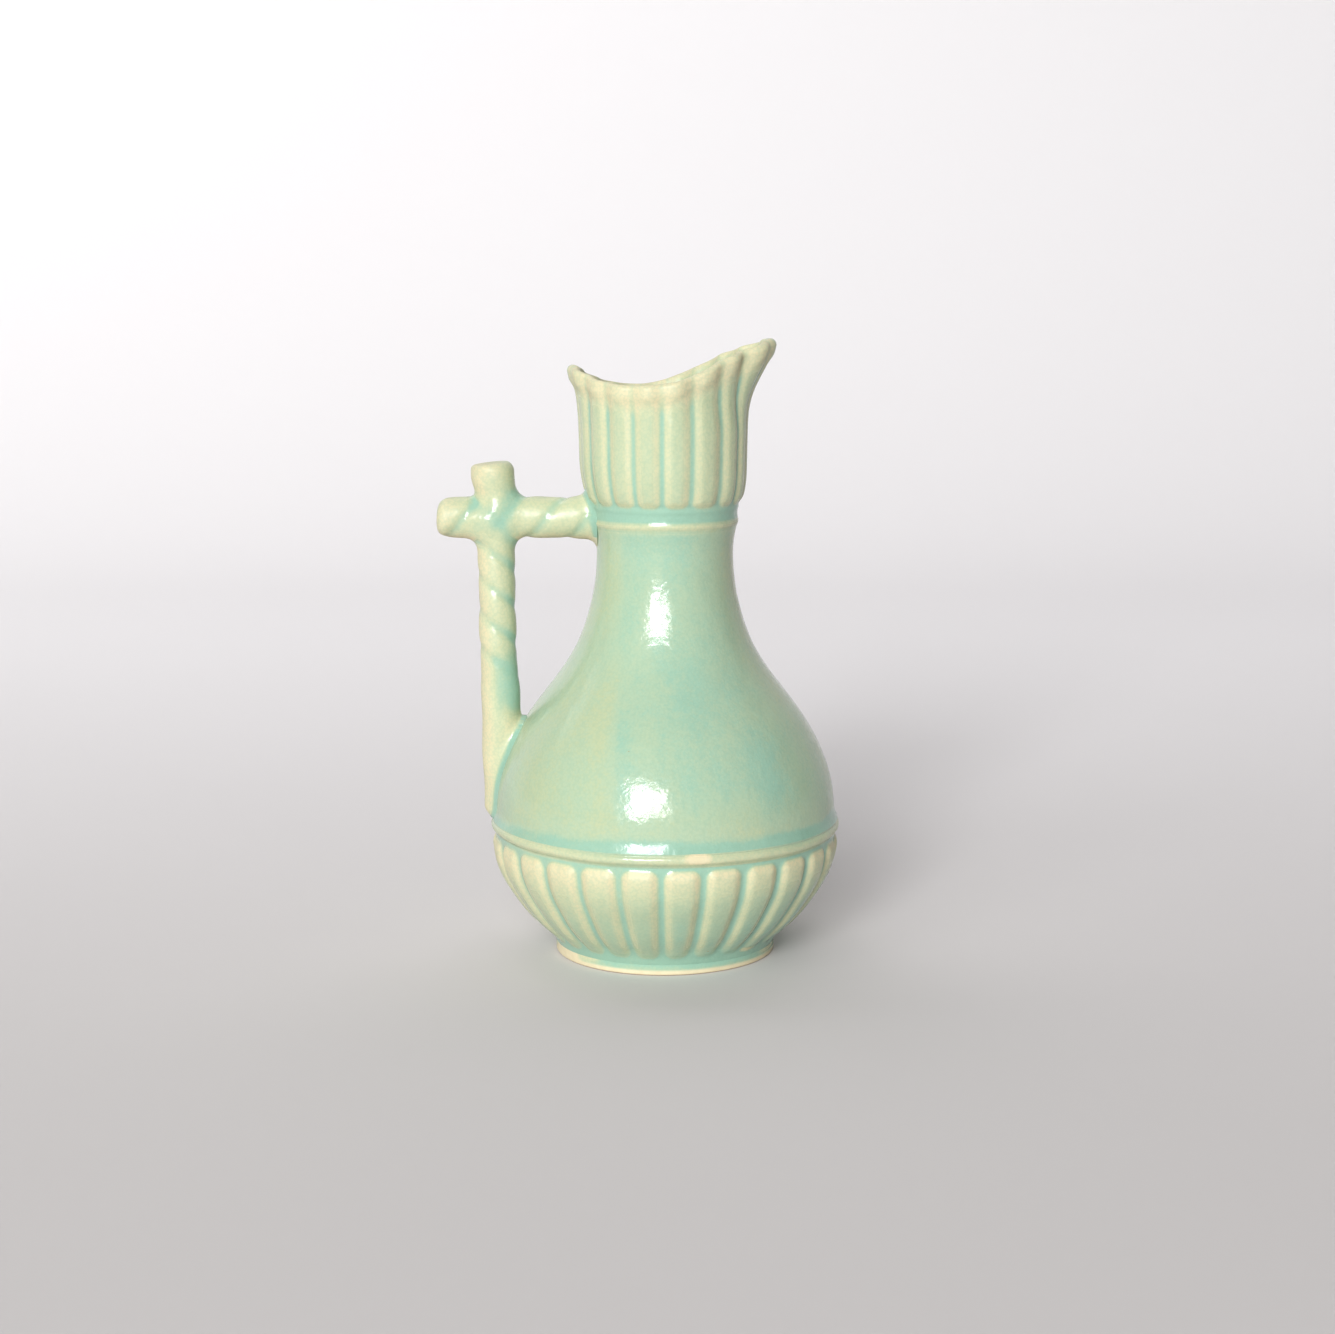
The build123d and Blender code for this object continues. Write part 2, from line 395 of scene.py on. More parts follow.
foot = skin("foot_ring", foot_rings, foot_glaze, loop=True, creases=foot_creases)
foot = fired(foot, celadon, "foot_ring")


# ------------------------------------------------------------
# Fluted bowl
# The round lower half, pressed in a mould that leaves convex flutes with square-shouldered tops. The
# glaze breaks straw over each flute's edge and runs blue-green down the grooves on to the foot.
# ------------------------------------------------------------
bowl_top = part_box("fluted_bowl")[1].z / mm
bowl_flutes = 26
bowl_first_groove = math.radians(-91.2)
columns_per_flute = 24
bowl_rows = 96
bowl_cavity_radius = 53.6
inside_glaze = (0.1, 0.25, 0.0)
under_glaze_coat = (0.2, 0.15, 0.0)
under_edge = 35.0
under_depth = 0.5
under_gap = 0.02
groove_half_width = 0.85
flute_top = 39.7
flute_bottom = 5.4
flute_rise = 1.5
flute_corner = 3.2
foot_cove_top = 8.5
skip_bearing = -45.0
skip_reach = 38
skip_height = 6.2
skip_half_width = 2.4
skip_half_height = 0.7
bowl_knots = [(foot_radius, foot_height), (37.3, 4.9), (42.2, 10.0), (47.2, 15.2), (51.6, 21.4)]
bowl_knots += [(55.8, 29.0), (57.4, 35.0), (57.8, bowl_top)]


def inset(across, along, half_width, half_length, corner):
    """Depth inside a rectangle with round corners, in mm, and negative outside it."""
    side = np.abs(across) - half_width + corner
    end = np.abs(along) - half_length + corner
    beyond = np.hypot(np.maximum(side, 0), np.maximum(end, 0))
    return corner - beyond - np.minimum(np.maximum(side, end), 0)


def flute_place(angle, count, radius, first):
    """Arc distance from the nearest flute's middle, in mm, and half the distance between flutes.

    Grooves lie at the first angle and at every full turn / count from it, flutes halfway between."""
    share = (angle - first) / full_turn * count - 0.5
    return (share - np.round(share)) * full_turn / count * radius, math.pi / count * radius


def loaf(depth_inside, half_width):
    """Height, 0 to 1, of a soft flute: a smooth step up its shoulder and a parabola across its back."""
    shoulder = smooth_step(depth_inside, -1.0, 3.0)
    back = 1 - (1 - np.clip(depth_inside / half_width, 0, 1)) ** 2
    return 0.6 * shoulder + 0.4 * back


bowl_outline = fair_curve(bowl_knots, bowl_rows)
bowl_run = np.concatenate([[0.0], np.cumsum(np.hypot(*np.diff(bowl_outline, axis=0).T))])[:, None]
bowl_angle = ring_angles(bowl_flutes * columns_per_flute)
flute_start = np.interp(flute_bottom, bowl_outline[:, 1], bowl_run[:, 0])
flute_stop = np.interp(flute_top, bowl_outline[:, 1], bowl_run[:, 0])
across, half_pitch = flute_place(bowl_angle, bowl_flutes, bowl_outline[:, :1], bowl_first_groove)
along = bowl_run - (flute_start + flute_stop) / 2
half_length = (flute_stop - flute_start) / 2
half_width = half_pitch - groove_half_width
corner = np.minimum(flute_corner, half_width * 0.8)
depth_inside = inset(across, along, half_width, half_length, corner)
stand = loaf(depth_inside, half_width)
rise_here = flute_rise * (0.6 + 0.4 * smooth_step(bowl_outline[:, 1:], 5, 22))
rise_here = rise_here * smooth_step(bowl_outline[:, 1:], foot_height, foot_cove_top)
bowl_outer = turn_outline(bowl_outline, bowl_angle, (stand - 1) * rise_here)

# Thin over each flute's edge and top, and deeper in the grooves, towards the lip's side and at the foot.
height_up = (bowl_outline[:, 1:] - flute_bottom) / (flute_top - flute_bottom)
cooler = 0.2 * np.cos(bowl_angle - math.radians(-30))
edge_line = bump_at(depth_inside, 1.1, 1.3)
top_glow = smooth_step(along, half_length - 13, half_length - 1.5) * smooth_step(depth_inside, -0.2, 1.2)
bowl_thin = 0.35 * edge_line + 0.45 * top_glow - 0.9 * cooler + 0.45 * smooth_step(depth_inside, -0.4, 1.6)
spine = smooth_step(depth_inside, 0.6, 5.0) * smooth_step(0.85 - height_up, 0, 0.6)
bowl_thin = (bowl_thin - 0.32 * spine) * smooth_step(bowl_outline[:, 1:], 5.5, 13)
bowl_pool = 0.85 * smooth_step(-depth_inside, -0.7, 0.5) * (1 - 0.25 * height_up)
bowl_pool = bowl_pool + 0.2 * bump_at(height_up, 0.25, 0.35) * smooth_step(depth_inside, 1, 3) + cooler
bowl_pool = bowl_pool + 0.75 * smooth_step(foot_cove_top - bowl_outline[:, 1:], 0, 4.5)
skip_turn = turned_from(bowl_angle, math.radians(skip_bearing)) * skip_reach
skip_rise = (bowl_outline[:, 1:] - skip_height) / skip_half_height
glaze_skip = bump_at(np.hypot(skip_turn / skip_half_width, skip_rise), 0, 1)
bowl_thin = bowl_thin * (1 - glaze_skip) + 1.3 * glaze_skip
bowl_outer_glaze = np.stack([bowl_thin, bowl_pool, 0 * bowl_pool], -1)

# The inside wall and floor, and the slightly hollow underside within the foot ring.
bowl_inner_knots = [(1.0, 7.3), (20.0, 7.4), (33.0, 9.6), (43.8, 17.2), (51.6, 29.6)]
bowl_inner_knots += [(bowl_cavity_radius, bowl_top)]
bowl_inner = turn_outline(fair_curve(bowl_inner_knots, 20)[::-1], bowl_angle)
under_radius = np.linspace(1.0, under_edge, 8)
under_hollow = under_depth * (1 - (under_radius / under_edge) ** 2)
under_outline = np.stack([under_radius, foot_height - under_gap - under_hollow], -1)
bowl_under = turn_outline(under_outline, bowl_angle)
inner_glaze = np.zeros(bowl_inner.shape) + inside_glaze
under_glaze = np.zeros(bowl_under.shape) + under_glaze_coat
bowl_rings = np.concatenate([bowl_under, bowl_outer, bowl_inner])
bowl_glaze = np.concatenate([under_glaze, bowl_outer_glaze, inner_glaze])
outer_start = len(bowl_under)
outer_end = outer_start + bowl_rows - 1
bowl = skin("fluted_bowl", bowl_rings, bowl_glaze, creases=(outer_start, outer_end, outer_end + 1))
fired(bowl, celadon, "fluted_bowl")


# ------------------------------------------------------------
# Girdle
# The half-round band over the seam where the pressed bowl is luted to the belly. Its crest sheds the
# glaze to straw and cream, and one small bald patch near the front shows the clay.
# ------------------------------------------------------------
girdle_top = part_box("girdle")[1].z / mm
girdle_rows = 34
bead_height = 43.1
bead_half_height = 2.8
bead_stand = 1.5
skirt_stand = 1.15
girdle_cavity_radius = 53.4
valley_radius = bowl_outline[-1, 0] - flute_rise
patch_angle = math.radians(-79.5)
patch_half_width = 4.2
girdle_knots = [(valley_radius, bowl_top), (56.25, 41.6), (56.45, 43.2), (56.4, 44.4), (56.3, girdle_top)]
girdle_outline = fair_curve(girdle_knots, girdle_rows)
girdle_angle = ring_angles(bowl_flutes * columns_per_flute)
bead_drift = slow_waves(girdle_angle, 0.0, [(0.16, 2, 0.7, 0), (0.1, 5, 2.2, 0), (0.05, 11, 0.3, 0)])
bead_drift = bead_drift + 0.45 * bump_at(turned_from(girdle_angle, math.radians(-155)), 0, 0.8)
bead_share = (girdle_outline[:, 1:] - bead_height - bead_drift) / bead_half_height
bead = np.maximum(1 - bead_share**2, 0) ** 1.8
skirt = skirt_stand * smooth_step(girdle_outline[:, 1:], bead_height, girdle_top)
girdle_lift = np.maximum(bead_stand * bead, skirt)
girdle_outer = turn_outline(girdle_outline, girdle_angle, girdle_lift)
patch_turn = turned_from(girdle_angle, patch_angle) * valley_radius
patch_place = np.hypot(patch_turn / patch_half_width, (bead_share - 0.25) / 0.62)
patch = smooth_step(1.25 - patch_place, 0, 0.5)
girdle_thin = 0.5 * bump_at(bead_share, -0.1, 0.75) + 0.12 * np.sin(5 * girdle_angle + 1) + patch
girdle_pool = 0.85 * smooth_step(bead_share, 0.4, 1.1) + 0.6 * smooth_step(-bead_share, 0.6, 1.05)
girdle_glaze = np.stack([girdle_thin, girdle_pool * (1 - patch), 0.5 * patch], -1)
girdle_inner_line = np.array([[girdle_cavity_radius, girdle_top], [bowl_cavity_radius, bowl_top]])
girdle_inner = turn_outline(girdle_inner_line, girdle_angle)


def lined_ring(name, outer, coat, inner):
    """Closed mesh of a ring of wall: the outer rings going up, then the plainly glazed inner ones
    coming down. The four rings where wall and joints meet stay sharp."""
    rings = np.concatenate([outer, inner])
    whole_coat = np.concatenate([coat, np.zeros(inner.shape) + inside_glaze])
    return skin(name, rings, whole_coat, loop=True, creases=(0, len(outer) - 1, len(outer), -1))


girdle = lined_ring("girdle", girdle_outer, girdle_glaze, girdle_inner)
fired(girdle, celadon, "girdle")


# ------------------------------------------------------------
# Belly and neck
# The smooth upper wall, thrown to a round shoulder and drawn in to the neck. The glaze lies even and
# glossy here, runs slowly down the front, and pools in the cove above the girdle.
# ------------------------------------------------------------
neck_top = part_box("belly_and_neck")[1].z / mm
belly_rows = 150
belly_columns = 384
run_from_front = 15.5
run_width = 9.0
neck_cavity_radius = 19.7
belly_start = girdle_outline[-1, 0] + girdle_lift[-1, 0]
belly_knots = [(belly_start, girdle_top), (56.55, 47.8), (56.15, 51.5), (55.0, 59.0), (51.4, 69.0)]
belly_knots += [(46.1, 78.6), (39.7, 87.4), (33.5, 95.7), (29.0, 103.4), (25.8, 111.7), (23.4, 121.5)]
belly_knots += [(22.4, 131.0), (22.6, 138.0), (23.4, neck_top)]
belly_outline = fair_curve(belly_knots, belly_rows)
belly_angle = ring_angles(belly_columns)
belly_outer = turn_outline(belly_outline, belly_angle)

# A pool in the cove, one long run down the front with a veil beside it, straw on the handle's side, and a
# darker green patch on the right of the belly, partly pooled glaze and partly painted shade.
belly_level = belly_outline[:, 1:] + 0 * belly_angle
pool_top = 49.0 + slow_waves(belly_angle, 0.0, [(0.5, 3, 1.0, 0), (0.35, 8, 2.5, 0), (0.2, 19, 0.0, 0)])
side_turn = turned_from(belly_angle, math.radians(-90))
cove_depth = 0.9 + 0.35 * bump_at(side_turn, 0.9, 0.6)
belly_pool = cove_depth * smooth_step(pool_top - belly_level, -1.6, 2.2)
run_edge = (side_turn * belly_outline[:, :1] + run_from_front) / run_width
belly_run = bump_at(run_edge, 0, 0.55) * smooth_step(belly_level, 50, 62)
belly_run = belly_run * smooth_step(98 - belly_level, 0, 20)
front_veil = smooth_step(run_edge, -0.2, 0.25) * smooth_step(1.3 - side_turn, 0, 0.9)
front_veil = front_veil * smooth_step(belly_level, 50, 66)
straw_side = smooth_step(-side_turn, 0.15, 0.7) * smooth_step(110 - belly_level, 0, 25)
belly_pool = belly_pool + 0.45 * belly_run + 0.4 * front_veil - 0.25 * straw_side
# Darker on the belly's right side at mid height: partly deeper glaze, partly painted shade.
belly_pool = belly_pool + 0.35 * bump_at(side_turn, 0.85, 0.5) * bump_at(belly_level, 66, 20)
belly_thin = 0.25 * bump_at(belly_level, neck_top, 0.8)
belly_glaze = np.stack([belly_thin, belly_pool, 0 * belly_pool], -1)
belly_inner_knots = [(neck_cavity_radius, neck_top), (18.8, 131.0), (20.4, 118.0), (26.4, 101.5)]
belly_inner_knots += [(36.6, 85.5), (47.6, 69.0), (51.8, 57.0), (girdle_cavity_radius, girdle_top)]
belly_inner = turn_outline(fair_curve(belly_inner_knots, 40), belly_angle)
belly = lined_ring("belly_and_neck", belly_outer, belly_glaze, belly_inner)
fired(belly, celadon, "belly_and_neck")


# ------------------------------------------------------------
# Neck bead
# A thin raised line turned at the top of the neck, where the collar is joined on. The glaze breaks
# pale over it and pools in the step above.
# ------------------------------------------------------------
bead_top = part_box("neck_bead")[1].z / mm
neck_bead_rows = 22
neck_bead_height = 144.2
neck_bead_half_height = 1.7
neck_bead_stand = 0.3
collar_cavity_radius = 20.3
collar_flutes = 18
neck_bead_columns = collar_flutes * columns_per_flute
neck_bead_knots = [belly_knots[-1], (23.7, 143.8), (23.8, 145.0), (23.8, bead_top)]
neck_bead_outline = fair_curve(neck_bead_knots, neck_bead_rows)
neck_bead_angle = ring_angles(neck_bead_columns)
neck_drift = slow_waves(neck_bead_angle, 0.0, [(0.15, 1, 2.0, 0), (0.1, 3, 0.5, 0)])
neck_bead_share = (neck_bead_outline[:, 1:] - neck_bead_height - neck_drift) / neck_bead_half_height
neck_bead_lift = neck_bead_stand * bump_at(neck_bead_share, 0, 0.6)
neck_bead_outer = turn_outline(neck_bead_outline, neck_bead_angle, neck_bead_lift)
neck_bead_thin = 0.6 * bump_at(neck_bead_share, -0.1, 0.6)
neck_bead_pool = 0.75 * smooth_step(neck_bead_share, 0.5, 1.0)
neck_bead_glaze = np.stack([neck_bead_thin, neck_bead_pool, 0 * neck_bead_pool], -1)
neck_bead_inner_line = np.array([[collar_cavity_radius, bead_top], [neck_cavity_radius, neck_top]])
neck_bead_inner = turn_outline(neck_bead_inner_line, neck_bead_angle)
neck_bead = lined_ring("neck_bead", neck_bead_outer, neck_bead_glaze, neck_bead_inner)
fired(neck_bead, celadon, "neck_bead")


# ------------------------------------------------------------
# Fluted collar
# The flaring mouth, pressed with convex flutes, then cut to a saddle and pulled by hand into a high
# pouring lip and a small point at the back. The cut edge is rolled soft and glazes to cream.
# ------------------------------------------------------------
collar_rows = 120
collar_columns = collar_flutes * columns_per_flute
collar_rise = 0.9
collar_groove_half = 0.75
collar_corner = 2.4
collar_flute_bottom = 150.0
half_flute_length = 40.0
collar_wall = 3.3
collar_first_groove = math.radians(-92.0)
lip_crowding = math.radians(5.6)
rim_tilt = 0.036
roll_radius = 1.5
tip_roll_radius = 2.1
rim_knots = [(-33.0, 193.6), (-23.0, 189.0), (-12.0, 187.0), (0.0, 188.0), (12.0, 192.1), (20.0, 195.8)]
rim_knots += [(28.0, 198.6), (38.0, 201.2)]
rim_curve = fair_curve(rim_knots, 200)
collar_knots = [neck_bead_knots[-1], (23.9, 148.2), (24.8, 150.2), (26.3, 154.3), (27.1, 159.0)]
collar_knots += [(27.5, 167.0), (27.7, 175.0), (28.2, 181.4), (29.6, 187.0), (31.9, 192.2)]
collar_knots += [(34.3, 197.0), (35.9, 201.0), (36.9, 206.0)]


def rim_height(angle, reach):
    """Height of the rim: a saddle read off the rim curve by its place along X, with the front edge
    tilted above the far one towards the back point."""
    x = reach * np.cos(angle)
    saddle = np.interp(x, rim_curve[:, 0], rim_curve[:, 1])
    return saddle - rim_tilt * reach * np.sin(angle) * smooth_step(10 - x, 0, 18)


def lip_pinch(angle, height):
    """Share by which fingers pressed the collar in beside the lip, beside the back point and across."""
    from_lip = np.abs(turned_from(angle, 0.0))
    lip = 0.16 * smooth_step(from_lip, 0.13, 0.6) * (1 - smooth_step(from_lip, 0.95, 1.75))
    back = 0.06 * bump_at(math.pi - from_lip, 0.6, 0.35) + 0.03 * bump_at(math.pi - from_lip, 0, 0.5)
    across_mouth = 0.045 * np.sin(angle) ** 2
    lip_share = lip * smooth_step(height, 172, 200)
    return lip_share + back * smooth_step(height, 178, 196) + across_mouth * smooth_step(height, 176, 194)


def crowded(angle):
    """Angle whose flutes are crowded towards the lip on both sides, by a bell of lip_crowding."""
    from_lip = turned_from(angle, 0.0)
    return angle + np.sign(from_lip) * lip_crowding * bump_at(np.abs(from_lip), 0.66, 0.47)


collar_outline = fair_curve(collar_knots, 400)
collar_angle = ring_angles(collar_columns)

# The rim's height depends on its reach and its reach on its height, so the two are settled in turns.
reach = 31.0 + 0 * collar_angle
for _ in range(8):
    rim = rim_height(collar_angle, reach)
    reach = np.interp(rim, collar_outline[:, 1], collar_outline[:, 0])
    reach = reach * (1 - lip_pinch(collar_angle, rim))
share_up = np.linspace(0, 1, collar_rows)[:, None]
collar_level = bead_top + (rim - bead_top) * share_up
below_rim = rim - collar_level
collar_radius = np.interp(collar_level, collar_outline[:, 1], collar_outline[:, 0])
collar_radius = collar_radius * (1 - lip_pinch(collar_angle, collar_level))
across, half_pitch = flute_place(crowded(collar_angle), collar_flutes, collar_radius, collar_first_groove)
along = collar_level - collar_flute_bottom
half_width = half_pitch - collar_groove_half
collar_inset = inset(across, along - half_flute_length, half_width, half_flute_length, collar_corner)
stand = loaf(collar_inset, half_width)
lip_side = bump_at(np.abs(turned_from(collar_angle, 0.0)), 0.45, 0.5)
fade = smooth_step(below_rim, 1.0, 8.0) * (1 - lip_side) + lip_side
above_band = smooth_step(collar_level, 148.6, 151.0)
groove_drop = collar_rise * (1 - stand) * (0.3 + 0.7 * fade) * above_band
roll_bulge = 0.55 * bump_at(below_rim, 2.0, 2.2) * (1 - lip_side)
lobe_swell = 0.35 * np.cos(across / half_pitch * math.pi) * smooth_step(6 - below_rim, 0, 4)
radius_out = collar_radius - groove_drop + roll_bulge + lobe_swell
radius_out = radius_out + hand_wobble(collar_angle, collar_level)
collar_lean = 0.5 * smooth_step(collar_level, 150, 165) * (1 - smooth_step(collar_level, 180, 195))
radius_out = radius_out - collar_lean * np.cos(collar_angle)
collar_outer = around_axis(radius_out, collar_angle, collar_level)

# The rolled edge: half a circle from the outer wall over the top to the inner wall.
from_lip, from_back = turned_from(collar_angle, 0.0), turned_from(collar_angle, math.pi)
tip_share = bump_at(from_lip, 0, 0.2) + 0.6 * bump_at(from_back, 0, 0.2)
roll = roll_radius + (tip_roll_radius - roll_radius) * tip_share
roll_rows = 12
roll_turn = np.linspace(0, math.pi, roll_rows + 1)[1:, None]
flare_rows = 8
flare_run = radius_out[-1] - radius_out[-1 - flare_rows]
flare_rise = collar_level[-1] - collar_level[-1 - flare_rows]
flare = np.arctan2(flare_run, flare_rise)[None, :]
swing = roll_turn - flare
roll_centre_r = radius_out[-1][None, :] - roll * np.cos(flare)
roll_centre_z = collar_level[-1][None, :] + roll * np.sin(flare)
roll_r = roll_centre_r + roll * np.cos(swing)
roll_z = roll_centre_z + roll * np.sin(swing)
collar_roll = around_axis(roll_r, collar_angle, roll_z)

# The inner wall keeps a steady thickness down to the neck.
inner_rows = 50
inner_share = np.linspace(1, 0, inner_rows)[1:, None]
inner_level = bead_top + (roll_z[-1][None, :] - bead_top) * inner_share
inner_wall_radius = np.interp(inner_level, collar_outline[:, 1], collar_outline[:, 0])
inner_wall_radius = inner_wall_radius * (1 - lip_pinch(collar_angle, inner_level))
gap_at_rim = inner_wall_radius[0] - roll_r[-1]
inner_radius = inner_wall_radius - gap_at_rim[None, :] * inner_share - collar_wall * (1 - inner_share)
collar_inner = around_axis(inner_radius, collar_angle, inner_level)

# Thin and creamy on the flutes and towards the rim, deep in the grooves and the step over the bead.
edge_line = bump_at(collar_inset, 0.9, 1.1) * smooth_step(collar_level, 149.5, 152)
rim_glow = smooth_step(9 - below_rim, 0, 7)
collar_thin = 0.45 * edge_line + 0.6 * rim_glow + 0.3 * smooth_step(collar_inset, -0.4, 1.4)
collar_pool = 0.8 * smooth_step(-collar_inset, -0.8, 0.4) * smooth_step(below_rim, 2.0, 9.0) - 0.1
collar_pool = np.maximum(collar_pool, 0.85 * smooth_step(150.6 - collar_level, 0, 1.6))
tip_cool = bump_at(from_lip, 0, 0.12) + bump_at(from_back, 0, 0.12)
collar_thin = collar_thin - 0.5 * tip_cool * smooth_step(8 - below_rim, 0, 6)
collar_pool = collar_pool + 0.45 * tip_cool * smooth_step(8 - below_rim, 0, 6)
collar_outer_glaze = np.stack([collar_thin, collar_pool, 0 * collar_pool], -1)
rubbed_edge = 0.5 * bump_at(roll_turn, 1.95, 0.4) + 0 * roll_z
roll_glaze = np.stack([collar_thin[-1:] + 0 * roll_z, collar_pool[-1:] + 0 * roll_z, rubbed_edge], -1)
inner_thin = 0.6 * smooth_step(inner_share, 0.85, 1.0) + 0 * collar_angle
inner_coat = np.stack([inner_thin, 0.25 + 0 * inner_thin, 0 * inner_thin], -1)
collar_rings = np.concatenate([collar_outer, collar_roll, collar_inner])
collar_coat = np.concatenate([collar_outer_glaze, roll_glaze, inner_coat])
collar = skin("fluted_collar", collar_rings, collar_coat, loop=True, creases=(0, -1))
fired(collar, celadon, "fluted_collar")


# ------------------------------------------------------------
# Twig handle
# Two rolled coils of clay scored with a spiral to look like twisted twigs: one level, one standing.
# They are pressed into each other where they cross and luted to neck and belly, and every corner is
# smoothed with slip, where the glaze pools.
# ------------------------------------------------------------
bar_low, bar_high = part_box("handle_crossbar")
post_low, post_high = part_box("handle_upright")
bar_level = (bar_low.z + bar_high.z) / 2 / mm
bar_end = bar_low.x / mm
bar_inner_end = -21.5
post_x = (post_low.x + post_high.x) / 2 / mm
post_top = post_high.z / mm
post_foot = 46.3
bar_lead = 27.0
post_lead = 23.8
slip_between_twigs = 5.4
slip_on_body = 4.2
bury = 1.7
bar_half_depth = 6.15
bar_half_height = 6.6
bar_bark_depth = 0.42
bar_twist_start = -39.1
post_radius = 5.95
post_bark_depth = 0.38
post_twist_start = 115.6
valley_width = 2.1
stub_corner_relief = 2.4
twig_columns = 108
longest_ray = 12.0
ray_steps = 72
fan_rings = 22


def rounded_both(first, second, rounding):
    """Gap to what two shapes share, with the edge where they meet rounded to a radius."""
    beyond = np.hypot(np.maximum(first + rounding, 0), np.maximum(second + rounding, 0))
    return beyond + np.minimum(np.maximum(first, second) + rounding, 0) - rounding


def strand_valley(along, turn, lead, start):
    """Depth, 0 to 1, of the two valleys that wind round a twig once in each lead."""
    offset = along - start + lead * turn / full_turn
    offset = offset - lead / 2 * np.round(2 * offset / lead)
    return bump_at(offset, 0, valley_width)


def bar_valley(x, y, z):
    return strand_valley(x, np.arctan2(z - bar_level, y), bar_lead, bar_twist_start)


def post_valley(x, y, z):
    turn = np.arctan2(y, x - post_centre(z))
    ends = smooth_step(z, 86, 100) * (1 - 0.7 * smooth_step(z, 144, 151))
    return strand_valley(z, turn, post_lead, post_twist_start) * ends


def post_centre(z):
    """The standing twig leans a little, in at its foot and out at its free top."""
    return post_x - 0.05 + 0.85 * smooth_step(118 - z, 0, 34) - 1.1 * smooth_step(z, 150, 160)


def gap_to_bar(x, y, z):
    """Level twig: an oval section with two strand valleys, and a slightly domed free end."""
    turn = np.arctan2(z - bar_level, y)
    distance = np.hypot(y, z - bar_level)
    oval = 1 / np.hypot(np.cos(turn) / bar_half_depth, np.sin(turn) / bar_half_height)
    oval = oval + 0.35 * smooth_step(x, -38, -27)
    ripple = 0.12 * np.sin(x / 3.1 + 2 * turn) + 0.1 * np.sin(x / 5.3 - turn)
    side = distance - oval + bar_bark_depth * bar_valley(x, y, z) - ripple - 0.15
    end = bar_end + 0.1 - x + 0.01 * distance**2 + 0.2 * np.sin(turn + 0.6)
    return rounded_both(side, end, 3.0)


def gap_to_post(x, y, z):
    """Standing twig: round with two strand valleys, swelling to a cut top that tilts to the left."""
    shift = x - post_centre(z)
    turn = np.arctan2(y, shift)
    distance = np.hypot(shift, y)
    tail = 0.3 * smooth_step(100 - z, 0, 14) - 0.7 * smooth_step(78 - z, 0, 26)
    thick = post_radius + 1.15 * smooth_step(z, 150, 159) + tail
    ripple = 0.12 * np.sin(z / 3.3 + 2 * turn) + 0.12 * np.sin(z / 6.1 - turn + 1)
    side = distance - thick + post_bark_depth * post_valley(x, y, z) - ripple - 0.15
    top = z - post_top + 0.25 - 0.1 * shift + 0.008 * distance**2
    bottom = post_foot - z
    return rounded_both(rounded_both(side, top, 2.1 + 0.14 * shift), bottom, 2.4)


# The wall that the twigs are luted to: the body's outlines end to end, with each one's extra stand.
wall_parts = [(bowl_outline, 0.0), (girdle_outline, 1.0), (belly_outline, 0.0), (neck_bead_outline, 0.0)]
wall_parts += [(collar_outline, -0.5 * collar_rise)]
body_level = np.concatenate([outline[:, 1] for outline, extra in wall_parts])
body_reach = np.concatenate([outline[:, 0] + extra for outline, extra in wall_parts])
body_order = np.argsort(body_level, kind="stable")
body_level, body_reach = body_level[body_order], body_reach[body_order]
belly_slope = np.gradient(belly_outline[:, 0], belly_outline[:, 1])
body_tilt = np.interp(body_level, belly_outline[:, 1], belly_slope)


def gap_to_body(x, y, z):
    """Distance outside the vessel's wall: the radial gap times the cosine of the wall's slope."""
    slope = np.interp(z, body_level, body_tilt)
    return (np.hypot(x, y) - np.interp(z, body_level, body_reach)) / np.sqrt(1 + slope**2)


def slip_union(first, second, width):
    """Smooth minimum of two gaps: it drops by width h (1 - h) where they differ by less than width,
    with h the share of the way between them."""
    share = np.clip(0.5 + 0.5 * (second - first) / width, 0, 1)
    return second + (first - second) * share - width * share * (1 - share)


def handle_gap(x, y, z, own, other):
    """Gap to both twigs and the wall with their corners filled, and the gap to the wall alone.

    The corner left of the standing twig's stub is filled less. Where the other twig or the wall is
    the nearer one the surface sinks slightly, so that only one skin shows at any place."""
    own_gap, other_gap = own(x, y, z), other(x, y, z)
    left_of_stub = smooth_step(post_x - x, 0, 4) * smooth_step(z, bar_level, bar_level + 5)
    twigs = slip_union(own_gap, other_gap, slip_between_twigs - stub_corner_relief * left_of_stub)
    wall = gap_to_body(x, y, z)
    whole = slip_union(twigs, wall, slip_on_body)
    whole = whole + 0.5 * smooth_step(twigs - wall, 0.55 * slip_on_body, slip_on_body)
    return whole + 0.3 * smooth_step(own_gap - other_gap, 0.0, 1.0), wall


def swept_twig(centre, axis, sides, lean, own, other):
    """Rings of points where rays from the centre line first leave the handle's skin.

    Each ray turns about the axis through a full circle, and leans along the axis by lean. It stops at
    the skin, at the longest reach, at the burying depth in the wall, or just under the tail's foot."""
    turn = ring_angles(twig_columns)[..., None]
    level = np.cos(lean)[:, None, None]
    ray = level * (np.cos(turn) * sides[0] + np.sin(turn) * sides[1]) + np.sin(lean)[:, None, None] * axis
    steps = np.linspace(0.0, longest_ray, ray_steps)
    points = centre[:, None, None, :] + ray[:, :, None, :] * steps[None, None, :, None]
    gap, wall = handle_gap(points[..., 0], points[..., 1], points[..., 2], own, other)
    limit = np.maximum(gap, -(wall + bury))
    limit = np.maximum(limit, post_foot - 1.0 - points[..., 2])
    passed = limit > 0
    passed[..., -1] = True
    after = np.maximum(np.argmax(passed, axis=-1), 1)[..., None]
    ahead = np.take_along_axis(limit, after, -1)
    behind = np.take_along_axis(limit, after - 1, -1)
    share = np.clip(-behind / np.where(np.abs(ahead - behind) < 1e-9, 1, ahead - behind), 0, 1)
    return centre[:, None, :] + ray * (after - 1 + share) * steps[1]


